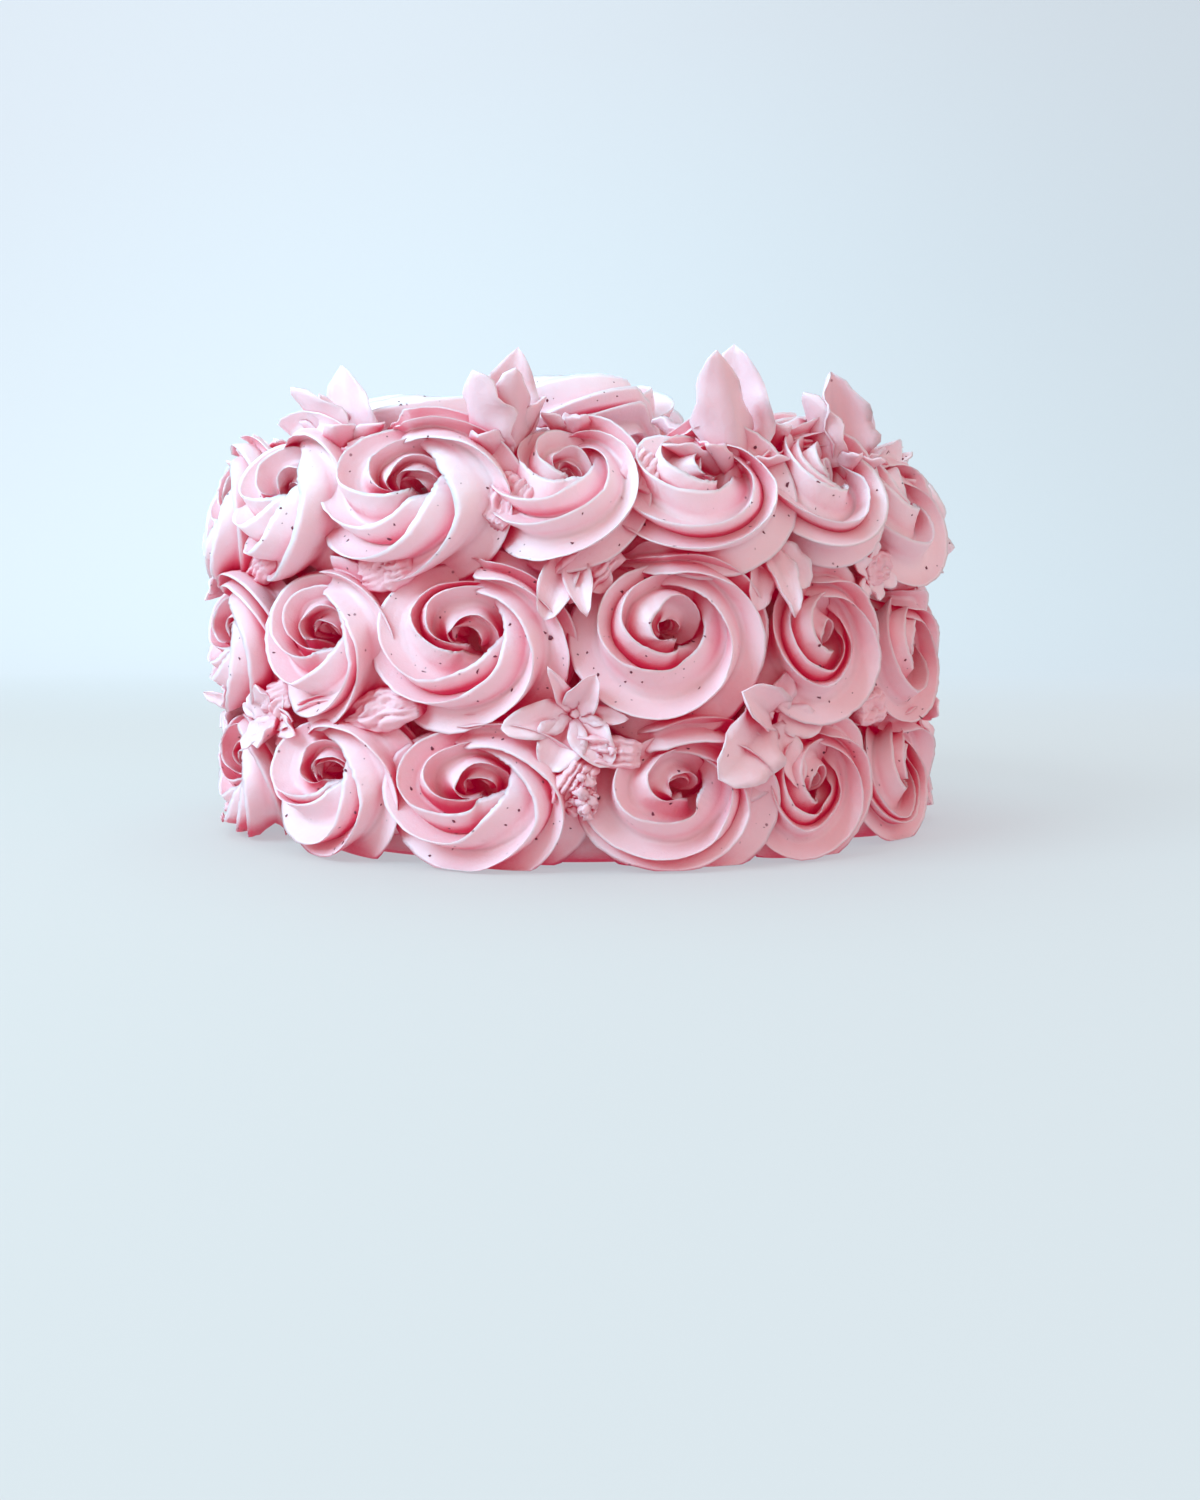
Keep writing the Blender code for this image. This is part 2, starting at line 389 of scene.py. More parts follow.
def berry_skin(icing):
    """Ground freeze-dried berry: dark red flakes."""
    shader = Shader("berry_skin")
    shade = shader.noise(700.0, 2.0)
    red = tuple(icing.speck)
    shader.feed(shader.surface.inputs["Base Color"], shader.mix(shade, tuple(0.6 * c for c in red), red))
    shader.feed(shader.surface.inputs["Roughness"], shade * 0.2 + 0.5)
    return shader.material


# ---------------------------------------------------------------- meshes


def smoothstep(value, low=0.0, high=1.0):
    share = np.clip((value - low) / (high - low), 0.0, 1.0)
    return share * share * (3.0 - 2.0 * share)


def wander(rng, along, waves, amount):
    """A smooth random line over along, 0 to 1, as a sum of slow waves."""
    line = np.zeros_like(along)
    for wave in range(1, waves + 1):
        line += np.sin(2 * math.pi * (along * wave + rng.random())) * rng.normal() / wave
    return amount * line


def grid_faces(rows, columns, offset=0):
    """Quads of a tube of rows by columns, closed round its columns, with a fan's quads at no end."""
    row, column = np.meshgrid(np.arange(rows - 1), np.arange(columns), indexing="ij")
    following = (column + 1) % columns
    faces = np.stack(
        [row * columns + column, row * columns + following,
         (row + 1) * columns + following, (row + 1) * columns + column], axis=-1,
    )
    return faces.reshape(-1, 4) + offset


def tube(points, crest, offset=0):
    """Vertices, faces and crest values of a closed tube through rows of points."""
    rows, columns = points.shape[:2]
    first = points[0].mean(axis=0)
    last = points[-1].mean(axis=0)
    vertices = np.concatenate([points.reshape(-1, 3), first[None], last[None]])
    values = np.concatenate([crest.reshape(-1), [crest[0].mean(), crest[-1].mean()]])
    faces = [tuple(face) for face in grid_faces(rows, columns, offset)]
    start, end = offset + rows * columns, offset + rows * columns + 1
    edge = offset + (rows - 1) * columns
    for column in range(columns):
        following = (column + 1) % columns
        faces.append((offset + following, offset + column, start))
        faces.append((edge + column, edge + following, end))
    return vertices, faces, values


def add_mesh(name, parts, material):
    """One object from several (vertices, faces, crest) parts."""
    vertices = np.concatenate([part[0] for part in parts])
    faces = [face for part in parts for face in part[1]]
    crest = np.concatenate([part[2] for part in parts]).astype(np.float32)
    mesh = bpy.data.meshes.new(name)
    mesh.from_pydata(vertices.tolist(), [], faces)
    # The crest value marks crests and rims. There the icing paints its highlight and is a little glossier.
    layer = mesh.attributes.new("crest", "FLOAT", "POINT")
    layer.data.foreach_set("value", crest)
    mesh.shade_smooth()
    mesh.materials.append(material)
    made = bpy.data.objects.new(name, mesh)
    bpy.context.scene.collection.objects.link(made)
    return made


def settle(piece, slot, *nodes):
    """The piece rides on the cake and stands for the nodes. slot is not used."""
    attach(piece, "root")
    if nodes:
        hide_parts(*nodes)


# ---------------------------------------------------------------- places on the cake


Cell = namedtuple("Cell", "turn height half_width half_height")


def side_cell(node):
    """Where a node sits on the side: its angle from the front, height, and half its arc and rise."""
    mesh = frame["nodes"][node].data
    points = np.empty(len(mesh.vertices) * 3)
    mesh.vertices.foreach_get("co", points)
    points = points.reshape(-1, 3)
    middle = points.mean(axis=0)
    rough = math.atan2(middle[1], middle[0])
    angles = (np.arctan2(points[:, 1], points[:, 0]) - rough + math.pi) % (2 * math.pi) - math.pi
    turn = rough + (angles.max() + angles.min()) / 2 - FRONT
    half_width = (angles.max() - angles.min()) / 2 * BODY_RADIUS
    low, high = points[:, 2].min(), points[:, 2].max()
    return Cell(turn, (low + high) / 2, half_width, (high - low) / 2)


def side_place(turn, height, tilt, wrap):
    """Puts (across, along, lift) on the side at this angle, its normal leaning up by tilt.

    What would reach below the floor is pressed flat on it.
    """

    def place(across, along, lift):
        reach = BODY_RADIUS + lift * math.cos(tilt) - along * math.sin(tilt)
        angle = FRONT + turn + across / wrap
        rise = height + lift * math.sin(tilt) + along * math.cos(tilt)
        rise = np.maximum(rise, FLOOR + 0.1 * (rise - FLOOR))
        rise = np.maximum(rise, 0.0)
        return np.stack([reach * np.cos(angle), reach * np.sin(angle), rise], axis=-1)

    return place


def top_place(x, y, base, turn, tilt=0.0):
    """Puts (across, along, lift) on the top, with along pointing outwards at this angle."""
    out = np.array([math.cos(FRONT + turn), math.sin(FRONT + turn), 0.0])
    aside = np.array([-out[1], out[0], 0.0])
    up = np.array([0.0, 0.0, 1.0])
    normal = up * math.cos(tilt) + out * math.sin(tilt)
    along_axis = -(out * math.cos(tilt) - up * math.sin(tilt))
    origin = np.array([x, y, base])

    def place(across, along, lift):
        return (
            origin + across[..., None] * aside + along[..., None] * along_axis + lift[..., None] * normal
        )

    return place


# ---------------------------------------------------------------- rosettes


Rosette = namedtuple(
    "Rosette", "across along proud fins spin turned tail lean opened follow eye valley seed"
)

# A fin of the nozzle's star: share of the way to the next valley, and share of the fin's height.
FIN = ((-1.0, 0.0), (-0.62, 0.22), (-0.28, 0.54), (-0.08, 0.85), (0.0, 1.0), (0.08, 0.85),
       (0.28, 0.54), (0.62, 0.22))

# The nozzle's path, anticlockwise from the eye: bearing in degrees, then distance from the eye and
# half the rope's width as shares of half the rosette, then half the rope's height and its middle's
# lift as shares of the whole height. The curl in the eye comes first, then the ring, which is
# widest at the lower left and narrows towards the tail.
PATH = (
    (-75, 0.05, 0.14, 0.16, 0.20),
    (-20, 0.11, 0.24, 0.30, 0.32),
    (60, 0.17, 0.30, 0.36, 0.42),
    (135, 0.30, 0.38, 0.45, 0.48),
    (195, 0.50, 0.48, 0.50, 0.50),
    (270, 0.66, 0.53, 0.52, 0.50),
    (345, 0.67, 0.39, 0.50, 0.52),
    (415, 0.60, 0.29, 0.46, 0.52),
    (450, 0.58, 0.26, 0.42, 0.48),
)
TAIL_TURN = 46.0
TAIL_SIZE = 0.40
EASE = 24.0
WALL = 0.80
INNER_LIFT = 0.40
FOLLOW_FROM = math.pi * 2


def nozzle(fins):
    """The star that leaves the nozzle: each point's fin, angle within it and height up it."""
    fin = np.repeat(np.arange(fins), len(FIN))
    share, rise = np.tile(np.array(FIN), (fins, 1)).T
    return fin, share, rise


def nozzle_path(style, count):
    """Bearing, distance from the eye, half width, half height, lift and tail share of each station."""
    table = np.array(PATH, float)
    tail_from, tail_turn = table[-1, 0], TAIL_TURN * style.tail
    bearing = np.arange(table[0, 0], tail_from + tail_turn, 1.0)
    window = np.hanning(EASE * 2 + 1)
    window /= window.sum()
    columns = []
    for column in table.T[1:]:
        line = np.interp(bearing, table[:, 0], column)
        padded = np.pad(line, int(EASE), mode="edge")
        columns.append(np.convolve(padded, window, mode="valid"))
    distance, width, height, lift = columns
    distance = distance * (1 + 0.12 * style.opened)
    width = width * (1 - 0.16 * style.opened)
    tail = np.clip((bearing - tail_from) / tail_turn, 0, 1)
    distance = distance / np.cos(np.radians(np.maximum(bearing - tail_from, 0)))
    shrink = 1 - (1 - TAIL_SIZE) * tail**1.3
    lines = np.stack([bearing, distance, width * shrink, height * shrink, lift * (1 - 0.75 * tail), tail])
    step = np.hypot(np.gradient(distance), distance * np.radians(1.0)) + 0.25 * distance.mean() * np.radians(1.0)
    walked = np.concatenate([[0], np.cumsum(step)[:-1]])
    stops = np.linspace(0, walked[-1], count)
    return [np.interp(stops, walked, line) for line in lines]


def rosette_rope(style, piping):
    """One rosette in its own plane: across, along and lift of each point, and its crest value."""
    rng = np.random.default_rng(style.seed)
    stray = piping.unevenness
    count, fins = piping.stations, style.fins
    fin, share, rise = nozzle(fins)
    bearing, distance, width, height, centre, tail = nozzle_path(style, count)
    along = np.linspace(0, 1, count)
    distance = distance * (1 + wander(rng, along, 3, 0.02 * stray))
    width = width * (1 + wander(rng, along, 4, 0.03 * stray))
    turn = np.radians(bearing + style.turned)
    x, y = distance * np.cos(turn), distance * np.sin(turn)
    heading = np.unwrap(np.arctan2(np.gradient(y), np.gradient(x)))
    born = smoothstep(along, 0.0, 0.04)

    # The star keeps its bearing while the heading turns, so its fins wind round the rope.
    star = math.radians(style.spin) + 2 * math.pi * np.arange(fins) / fins + rng.normal(0, 0.17 * stray, fins)
    sway = np.stack([wander(rng, along, 3, 0.07 * stray) for _ in range(fins)], axis=1)
    lean = (style.lean + rng.normal(0, 0.15 * stray, fins))[fin]
    half_fin = math.pi / fins
    angle = (star[fin] + share * half_fin - lean * half_fin * rise**1.6)[None] + sway[:, fin]
    grown = 1 + rng.normal(0, 0.04 * stray, fins)[None] + np.stack(
        [wander(rng, along, 9, 0.028 * stray) for _ in range(fins)], axis=1
    )
    ragged = rng.normal(0, 1, (count, fins)) * (0.009 + 0.16 * tail[:, None] ** 0.7) * stray
    torn = 1 - 0.75 * smoothstep(tail[:, None] - rng.uniform(0.25, 0.95, fins), 0.0, 0.10)
    star_rise = rise[None] * torn[:, fin]
    reach = (style.valley + (1 - style.valley) * star_rise) * grown[:, fin] + star_rise * ragged[:, fin]
    reach *= (0.2 + 0.8 * born)[:, None]

    beta = angle - (heading - style.follow * (heading - FOLLOW_FROM))[:, None]
    side, high = np.sin(beta), -np.cos(beta)
    inner = np.clip(side, 0, 1) ** WALL
    side = np.where(side > 0, inner, side)
    high = high + INNER_LIFT * (1 - np.abs(np.cos(beta))) * (side > 0)
    out = width[:, None] * reach * side
    px = x[:, None] - np.sin(heading)[:, None] * out
    py = y[:, None] + np.cos(heading)[:, None] * out
    lift = centre[:, None] + height[:, None] * reach * high
    lift = np.maximum(lift, -0.04 + 0.02 * rise[None])
    # Crest value, near 1 at the tops of the fins, where the icing paints its highlight.
    crest = rise[None] * smoothstep(lift, 0.0, 0.5)
    py = py + style.eye
    return px * style.across / 2, py * style.along / 2, lift * style.proud, crest


def pipe(node, style, place, piping, icing):
    """Pipes one rosette and lets it stand for its node."""
    across, along, lift, crest = rosette_rope(style, piping)
    part = tube(place(across, along, lift), crest)
    piece = add_mesh("piped_" + node, [part], piped_icing(icing))
    settle(piece, "piped_icing", node)
    return piece


Hand = namedtuple("Hand", "aside rise tilt across along", defaults=(0.0, 0.0, 0.0, 1.0, 1.0))

# Where the hand put the rosettes at the front: aside and up from the cell in millimetres, leaning
# up in degrees beyond the band's own tilt, and larger or smaller than the cell; then their style.
OWN = {
    "rosette_low_02": (Hand(1, 1.5, 0, 1.04, 1.12), dict(spin=20, opened=0.2, lean=0.3, follow=0.25)),
    "rosette_low_03": (Hand(-1, 0, 0, 1.05, 1.07), dict(spin=52, opened=0.0, lean=0.55, follow=0.3)),
    "rosette_low_04": (Hand(1, 0, 0, 1.07, 1.07), dict(spin=5, opened=0.0, lean=0.3, follow=0.4)),
    "rosette_low_05": (Hand(0, -0.5, 0, 1.02, 1.07), dict(spin=40, opened=0.4, lean=0.2, follow=0.4)),
    "rosette_low_06": (Hand(1, -0.5, 0, 0.97, 1.07), dict(spin=12, opened=0.5, lean=0.2, follow=0.2)),
    "rosette_middle_02": (Hand(-1, 0.5, 0, 0.94, 1.04), dict(spin=33, opened=0.1, lean=0.2, follow=0.3)),
    "rosette_middle_03": (Hand(-3, 0, 0, 1.12, 1.02), dict(spin=15, opened=0.1, lean=0.5, follow=0.3)),
    "rosette_middle_04": (Hand(0, 1, 0, 1.0, 1.12), dict(spin=30, opened=0.2, lean=0.4, follow=0.42)),
    "rosette_middle_05": (Hand(0, -1, 4, 0.92, 1.0), dict(spin=0, opened=0.4, lean=0.3, follow=0.4)),
    "rosette_middle_06": (Hand(-1, -3, 0, 0.86, 0.92), dict(spin=25, opened=0.4, lean=0.1, follow=0.4)),
    "rosette_high_01": (Hand(0, 1, -8, 1.15, 1.0), dict(fins=6, spin=10, follow=0.0)),
    "rosette_high_02": (Hand(0, 1, -8, 1.02, 1.0), dict(fins=6, spin=31, follow=0.0)),
    "rosette_high_03": (
        Hand(-1, 0.5, -14, 1.20, 0.98), dict(fins=7, spin=6, turned=0, lean=0.65, opened=0.0, follow=0.05, eye=0.25)
    ),
    "rosette_high_04": (
        Hand(0, -2, 16, 1.20, 1.0), dict(spin=40, turned=-14, lean=0.3, opened=0.1, follow=0.3, eye=0.24)
    ),
    "rosette_high_05": (
        Hand(0, -1, 10, 1.12, 0.96), dict(spin=22, turned=0, lean=0.3, opened=0.0, follow=0.35)
    ),
    "rosette_high_06": (
        Hand(0, -0.5, 8, 1.10, 0.96), dict(spin=55, turned=0, lean=0.1, opened=0.4, follow=0.3, eye=0.24)
    ),
    "rosette_high_07": (Hand(0, -1, 0, 1.06, 1.0), dict(fins=6, spin=12, lean=0.4, follow=0.0)),
}


# How the hand piped the rosettes at the front of the top.
CROWN_OWN = {
    "rosette_crown_01": dict(turned=200, spin=12, lean=0.6, opened=0.2, follow=0.05, tail=0.6),
    "rosette_crown_07": dict(turned=-20, spin=30, lean=0.4, follow=0.3, tail=0.6),
    "rosette_crown_02": dict(turned=30, spin=5, lean=0.4, follow=0.3, tail=0.6),
}


def pipe_band(prefix, proud, tilt, rise, context):
    """Pipes one band of rosettes into its cells."""
    piping, icing = context.scene.cake_piping, context.scene.cake_icing
    for i, node in enumerate(n for n in NODES if n.startswith(prefix)):
        cell = side_cell(node)
        rng = np.random.default_rng(sum(map(ord, node)) * 7 + i)
        wrap = BODY_RADIUS + proud * 0.5
        hand, own = OWN.get(node, (Hand(), {}))
        style = Rosette(
            across=2 * cell.half_width * wrap / BODY_RADIUS * piping.spread * hand.across,
            along=2 * cell.half_height * piping.spread * 1.06 * hand.along,
            proud=proud * (1 + rng.normal(0, 0.03)),
            fins=piping.fins,
            spin=rng.uniform(0, 60),
            turned=rng.uniform(-22, 22),
            tail=rng.uniform(0.8, 1.15),
            lean=rng.uniform(0.3, 0.8),
            opened=rng.uniform(0, 0.8),
            follow=rng.uniform(0.05, 0.5),
            eye=0.19,
            valley=piping.valley + rng.normal(0, 0.02),
            seed=int(rng.integers(1 << 30)),
        )._replace(**own)
        place = side_place(
            cell.turn + hand.aside / 1000 / wrap,
            cell.height + rise + hand.rise / 1000,
            tilt + math.radians(hand.tilt),
            wrap,
        )
        pipe(node, style, place, piping, icing)


class CAKE_OT_pipe_low_band(bpy.types.Operator):
    """Pipe the band of rosettes round the foot of the cake"""

    bl_idname = "cake.pipe_low_band"
    bl_label = "Pipe low band"

    def execute(self, context):
        pipe_band("rosette_low", 0.0172, 0.0, 0.0, context)
        return {"FINISHED"}


class CAKE_OT_pipe_middle_band(bpy.types.Operator):
    """Pipe the band of rosettes round the middle of the side"""

    bl_idname = "cake.pipe_middle_band"
    bl_label = "Pipe middle band"

    def execute(self, context):
        pipe_band("rosette_middle", 0.0180, 0.0, 0.0, context)
        return {"FINISHED"}


class CAKE_OT_pipe_high_band(bpy.types.Operator):
    """Pipe the band of rosettes on the shoulder"""

    bl_idname = "cake.pipe_high_band"
    bl_label = "Pipe high band"

    def execute(self, context):
        pipe_band("rosette_high", 0.0185, math.radians(20), -0.0045, context)
        return {"FINISHED"}


class CAKE_OT_pipe_crown(bpy.types.Operator):
    """Pipe the rosettes on the top"""

    bl_idname = "cake.pipe_crown"
    bl_label = "Pipe crown"

    def execute(self, context):
        piping, icing = context.scene.cake_piping, context.scene.cake_icing
        for i, node in enumerate(n for n in NODES if n.startswith("rosette_crown")):
            low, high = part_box(node)
            middle = (low + high) / 2
            turn = math.atan2(middle.y, middle.x) - FRONT
            size = (high.x - low.x + high.y - low.y) / 2
            rng = np.random.default_rng(900 + i)
            style = Rosette(
                across=size * 1.22, along=size * 1.22, proud=high.z - low.z, fins=piping.fins,
                spin=rng.uniform(0, 60), turned=rng.uniform(0, 360), tail=rng.uniform(0.8, 1.1),
                lean=rng.uniform(-0.1, 0.4), opened=rng.uniform(0, 0.8), follow=rng.uniform(0.1, 0.5),
                eye=0.19, valley=piping.valley,
                seed=int(rng.integers(1 << 30)),
            )._replace(**CROWN_OWN.get(node, {}))
            place = top_place(middle.x, middle.y, low.z - 0.001, turn)
            pipe(node, style, place, piping, icing)
        return {"FINISHED"}


# ---------------------------------------------------------------- drop flowers


# A petal, as the nozzle leaves it: degrees round from the flower's right and degrees up from flat,
# length and width in millimetres, radians of cup across it, degrees that it bends back by, how
# pointed its tip is from 0 to 1, its lean to the left in millimetres, and where it starts.
Petal = namedtuple(
    "Petal", "around lift length width cup droop point lean start",
    defaults=(0.8, 20.0, 0.5, 0.0, 0.8),
)
PETAL_ROWS = 13
PETAL_COLUMNS = 7
TOP_STARS = 21
PETAL_THICK = 2.4
PETAL_RIM = 0.45


def petal_blade(petal, rng):
    """One petal as a closed blade in millimetres, thick at its foot and thin at its rim."""
    u = np.linspace(0, 1, PETAL_ROWS)[:, None]
    v = np.linspace(-1, 1, PETAL_COLUMNS)
    v = np.concatenate([v, v[::-1]])[None]
    front = np.repeat([1.0, -1.0], PETAL_COLUMNS)[None]
    pitch = np.radians(petal.lift - petal.droop * u**1.4)
    stride = petal.length / (PETAL_ROWS - 1)
    out = petal.start + np.cumsum(np.cos(pitch), axis=0) * stride
    up = np.cumsum(np.sin(pitch), axis=0) * stride
    tip = (1 - petal.point) * np.sqrt(1 - u**2.8) + petal.point * (1 - u**1.7)
    foot = 0.52 + 0.48 * np.sin(np.clip(u / 0.5, 0, 1) * math.pi / 2)
    half = petal.width / 2 * foot * tip * (1 + wander(rng, u, 3, 0.035)) + 0.05
    cup = petal.cup * (1 + wander(rng, u, 2, 0.12))
    aside = half * np.sin(v * cup) / cup
    rise = half * (1 - np.cos(v * cup)) / cup
    rise = rise - 0.24 * half * np.exp(-((v / 0.25) ** 2)) * (1 - u) ** 0.5
    rise = rise + 0.15 * half * np.abs(v) ** 3 * np.sin(5.0 * u * math.pi + v + rng.uniform(0, 6.28))
    thick = PETAL_RIM + PETAL_THICK * (1 - u) ** 0.8 * (1 - v**2)
    rise = rise + front * thick / 2
    out = out - np.sin(pitch) * rise
    up = up + np.cos(pitch) * rise
    aside = aside + petal.lean * u**1.5 + wander(rng, u, 2, 0.12)
    turn = math.radians(petal.around)
    points = np.stack(
        [out * math.cos(turn) - aside * math.sin(turn), out * math.sin(turn) + aside * math.cos(turn), up], -1
    )
    # Crest value, high at the rim and the tip, where the icing paints its highlight.
    crest = np.maximum(smoothstep(np.abs(v), 0.45, 1.0), smoothstep(u, 0.40, 1.0)) * np.ones_like(aside)
    return points, 0.5 + 0.5 * crest


def flower_foot(rng, depth, girth):
    """The blob of icing under a flower, drawn up to the peak where the nozzle let go."""
    rows, columns = 9, 24
    u = np.linspace(0, 1, rows)[:, None]
    angle = np.linspace(0, 2 * math.pi, columns, endpoint=False)[None]
    radius = girth * (1 - u**3 * 0.75) * (1 + 0.12 * np.cos(6 * angle + rng.uniform(0, 6)) * u)
    bend = rng.normal(0, 0.5, 2)
    up = -depth + (depth + 1.7) * u * np.ones_like(angle)
    points = np.stack([radius * np.cos(angle) + bend[0] * u**3, radius * np.sin(angle) + bend[1] * u**3, up], -1)
    return points, 0.5 + 0.5 * smoothstep(u, 0.8, 1.0) * np.ones_like(angle)


def grown(petals, share):
    """The same petals, larger by share."""
    return [
        petal._replace(length=petal.length * share, width=petal.width * share, lean=petal.lean * share)
        for petal in petals
    ]


def flower_parts(petals, place, seed, base, depth=9.0, girth=3.2, offset=0):
    """Vertices, faces and crest values of one flower. base is its height over the place, in metres."""
    rng = np.random.default_rng(seed)
    blades = [petal_blade(petal, rng) for petal in petals]
    blades.append(flower_foot(rng, depth, girth))
    parts = []
    for points, crest in blades:
        points = points / 1000
        placed = place(points[..., 0], points[..., 1], points[..., 2] + base)
        parts.append(tube(placed, crest, offset))
        offset += len(parts[-1][0])
    return parts


def drop_petals(rng, size, lift, count=6):
    """The petals of one more drop flower, six points of the nozzle with a hand's unevenness."""
    start = rng.uniform(0, 360)
    return [
        Petal(
            around=start + 360 * (i + rng.normal(0, 0.10)) / count,
            lift=lift + rng.normal(0, 10),
            length=size * (1 + rng.normal(0, 0.13)),
            width=size * (0.80 + rng.normal(0, 0.08)),
            cup=rng.uniform(0.5, 1.1),
            droop=rng.uniform(0, 45),
            point=rng.uniform(0.0, 0.5),
            lean=rng.normal(0, 0.6),
        )
        for i in range(count)
    ]


# The flowers nearest the camera, by node.
FLOWERS = {
    "flower_side_01": (
        Petal(117, 42, 10.6, 5.4, 1.2, 10, 0.75), Petal(64, 52, 9.0, 8.2, 1.4, 30, 0.0),
        Petal(192, 26, 12.4, 8.6, 0.6, 12, 0.3), Petal(246, 24, 10.8, 10.4, 0.9, 22, 0.0),
        Petal(302, 26, 10.8, 9.6, 1.1, 20, 0.1), Petal(-6, 30, 9.0, 5.4, 0.9, 12, 0.5),
    ),
    "flower_side_02": (
        Petal(154, 50, 12.0, 10.5, 1.3, 30, 0.0), Petal(214, 34, 15.5, 13.5, 0.55, 30, 0.0, 1.0),
        Petal(244, 8, 14.5, 11.0, 0.6, 10, 0.0), Petal(286, 20, 12.0, 6.8, 0.9, 8, 0.2),
        Petal(348, 24, 8.6, 7.0, 0.7, 14, 0.1), Petal(80, 26, 7.5, 6.4, 0.9, 8, 0.3),
    ),
    "flower_side_03": (
        Petal(246, 30, 11.6, 8.6, 1.3, 16, 0.1, 1.0), Petal(286, 38, 11.2, 6.6, 1.4, 18, 0.2, -0.6),
        Petal(312, 16, 8.0, 7.0, 0.9, 10, 0.0),
    ),
    "flower_side_04": (
        Petal(248, 26, 12.4, 7.6, 1.0, 12, 0.3, 0.8), Petal(284, 42, 14.0, 7.4, 1.4, 22, 0.3, -1.6),
        Petal(318, 18, 10.4, 8.4, 0.8, 10, 0.1), Petal(206, 14, 7.0, 5.4, 0.7, 6, 0.3),
    ),
    "flower_rim_01": (
        Petal(228, 62, 17.0, 19.0, 0.5, -10, 0.5, 4.5, 1.0), Petal(108, 80, 20.5, 18.0, 0.5, 0, 0.85, -4.5, 0.5),
        Petal(312, 70, 17.0, 14.0, 0.8, 4, 0.5, -1.0, 2.5), Petal(20, 60, 14.0, 10.0, 0.8, 10, 0.4),
        Petal(262, 40, 10.0, 9.0, 0.8, 26, 0.2), Petal(190, 36, 11.0, 6.6, 0.7, 12, 0.5),
    ),
    "flower_rim_02": (
        Petal(268, 86, 21.5, 18.0, 0.6, 4, 0.6, -6.5, 0.0), Petal(40, 86, 24.0, 20.0, 0.5, 0, 0.6, 3.0, 6.5),
        Petal(180, 16, 15.0, 9.0, 0.8, 4, 0.35), Petal(0, 20, 13.0, 9.0, 0.8, 8, 0.3),
        Petal(215, 24, 12.0, 6.0, 0.8, 10, 0.3), Petal(330, 18, 11.0, 6.5, 0.7, 10, 0.3),
        Petal(135, 26, 12.0, 8.0, 0.7, 10, 0.3),
    ),
    "flower_rim_03": (
        Petal(75, 80, 19.5, 21.0, 1.3, -8, 0.35, 2.5, 1.0), Petal(160, 70, 16.0, 14.0, 0.8, 6, 0.3, -2.0, 3.5),
        Petal(30, 58, 18.0, 15.0, 0.6, 14, 0.1, 0.0, 4.0), Petal(345, 34, 12.0, 9.0, 0.7, 12, 0.2),
        Petal(235, 36, 8.5, 7.0, 0.9, 26, 0.3), Petal(290, 30, 8.5, 7.0, 0.9, 20, 0.3),
    ),
}

# More flowers along the rim at the left and right: degrees from the front, distance from the axis
# and height of the foot in metres, then the petals.
RIM_FLOWERS = (
    (-37.5, 0.081, 0.088, (
        Petal(262, 66, 18.0, 19.0, 0.5, 6, 0.6, -6.0, 1.0), Petal(98, 74, 21.5, 19.0, 0.5, 4, 0.8, 6.5, 1.0),
        Petal(300, 36, 14.0, 11.0, 0.9, 10, 0.2, 1.0), Petal(185, 70, 16.0, 10.0, 0.8, 8, 0.5),
        Petal(345, 34, 15.0, 10.0, 0.8, 14, 0.3), Petal(225, 50, 13.0, 9.0, 0.9, 10, 0.4),
    )),
    (-58, 0.083, 0.083, (
        Petal(200, 70, 15.0, 8.0, 0.7, 4, 0.6), Petal(255, 60, 13.0, 9.0, 0.8, 10, 0.3),
        Petal(320, 50, 11.0, 8.0, 0.8, 10, 0.3), Petal(80, 74, 13.0, 9.0, 0.7, 6, 0.7),
    )),
    (-72, 0.083, 0.085, (
        Petal(150, 64, 15.0, 11.0, 0.6, 6, 0.8, 2.0), Petal(250, 56, 11.0, 9.0, 0.8, 12, 0.3),
        Petal(70, 70, 12.0, 10.0, 0.6, 8, 0.6), Petal(200, 40, 12.0, 7.0, 0.8, 10, 0.5),
        Petal(320, 36, 10.0, 7.0, 0.8, 12, 0.3),
    )),
    (-22, 0.064, 0.091, (
        Petal(180, 30, 11.0, 8.0, 0.8, 8, 0.2), Petal(60, 48, 10.0, 9.0, 0.9, 12, 0.1),
        Petal(120, 40, 10.0, 8.0, 0.9, 8, 0.2), Petal(10, 30, 9.0, 7.0, 0.8, 8, 0.3),
        Petal(290, 24, 8.0, 6.0, 0.8, 8, 0.3),
    )),
    (66, 0.083, 0.082, (
        Petal(110, 56, 13.0, 12.0, 0.7, 10, 0.2), Petal(40, 50, 14.0, 11.0, 0.6, 14, 0.3),
        Petal(250, 44, 9.0, 8.0, 0.8, 14, 0.3), Petal(180, 40, 11.0, 8.0, 0.8, 10, 0.3),
        Petal(320, 34, 11.0, 8.0, 0.7, 10, 0.3),
    )),
)

# Each front flower's place beside its cell, in millimetres aside, up and forward, and its size.
FLOWER_HAND = {
    "flower_side_01": (-0.5, 3.4, 0.0, 1.12),
    "flower_side_02": (4.2, 2.0, 0.0, 1.25),
    "flower_side_03": (-0.5, 6.0, 0.0, 1.25),
    "flower_side_04": (0.5, 6.5, 0.0, 1.2),
    "flower_rim_01": (-0.5, -8.5, 4.0, 1.10),
    "flower_rim_02": (-9.0, -9.0, 3.0, 1.03),
    "flower_rim_03": (-4.5, -8.0, 3.0, 1.08),
}


